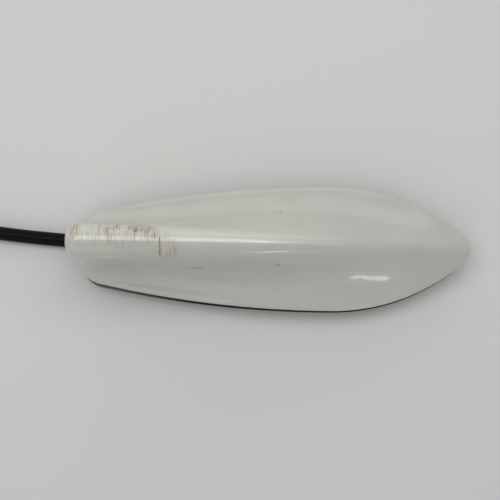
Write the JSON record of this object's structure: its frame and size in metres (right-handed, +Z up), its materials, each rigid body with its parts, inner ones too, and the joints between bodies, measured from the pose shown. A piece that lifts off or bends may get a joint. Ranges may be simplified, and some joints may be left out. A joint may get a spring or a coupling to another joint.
{
  "type": "car roof antenna",
  "caption": "Fin-shaped car roof antenna: pearl white moulded cover on a gasketed die-cast plate with a keyed foot, bolt insert and a short black cable to a connector.",
  "frame": {"origin": "on the roof bolt's axis at the bottom of the foot", "axes": "+X towards the nose of the fin, +Y to its left, +Z up; -Z is the way the roof bolt leaves its bore"},
  "size_m": [0.3224, 0.0686, 0.0597],
  "materials": {
    "pearl_paint": "gloss pearl white paint, scuffed along the fin's top",
    "black_rubber": "matt moulded rubber",
    "die_cast": "as-cast satin",
    "steel": "zinc plated",
    "board_laminate": "solder resist",
    "patch_ceramic": "fired matt",
    "foam_tape": "closed-cell foam",
    "tin_plate": "bright rolled sheet",
    "contact_brass": "plated contact",
    "cable_jacket": "smooth black jacket with a soft sheen",
    "plug_plastic": "moulded black nylon",
    "insulator_plastic": "turned white plastic"
  },
  "bodies": {
    "root": {"cover": "pearl_paint", "roof_gasket": "black_rubber", "base_plate": "die_cast", "thread_insert": "steel", "inner_seal": "black_rubber", "cable_grommet": "black_rubber", "jacket_collar": "tin_plate", "inner_leads": "cable_jacket", "circuit_board": "board_laminate", "board_screws": "steel", "cover_screws": "steel", "patch_tape": "foam_tape", "gps_patch": "patch_ceramic", "patch_pin": "contact_brass", "shield_can": "tin_plate", "radio_board": "board_laminate", "top_plate": "tin_plate", "board_bracket": "tin_plate", "cable": "cable_jacket", "connector_ferrule": "tin_plate", "connector_housing": "plug_plastic", "connector_shell": "contact_brass", "connector_insulator": "insulator_plastic", "connector_pin": "contact_brass"}
  },
  "joints": []
}
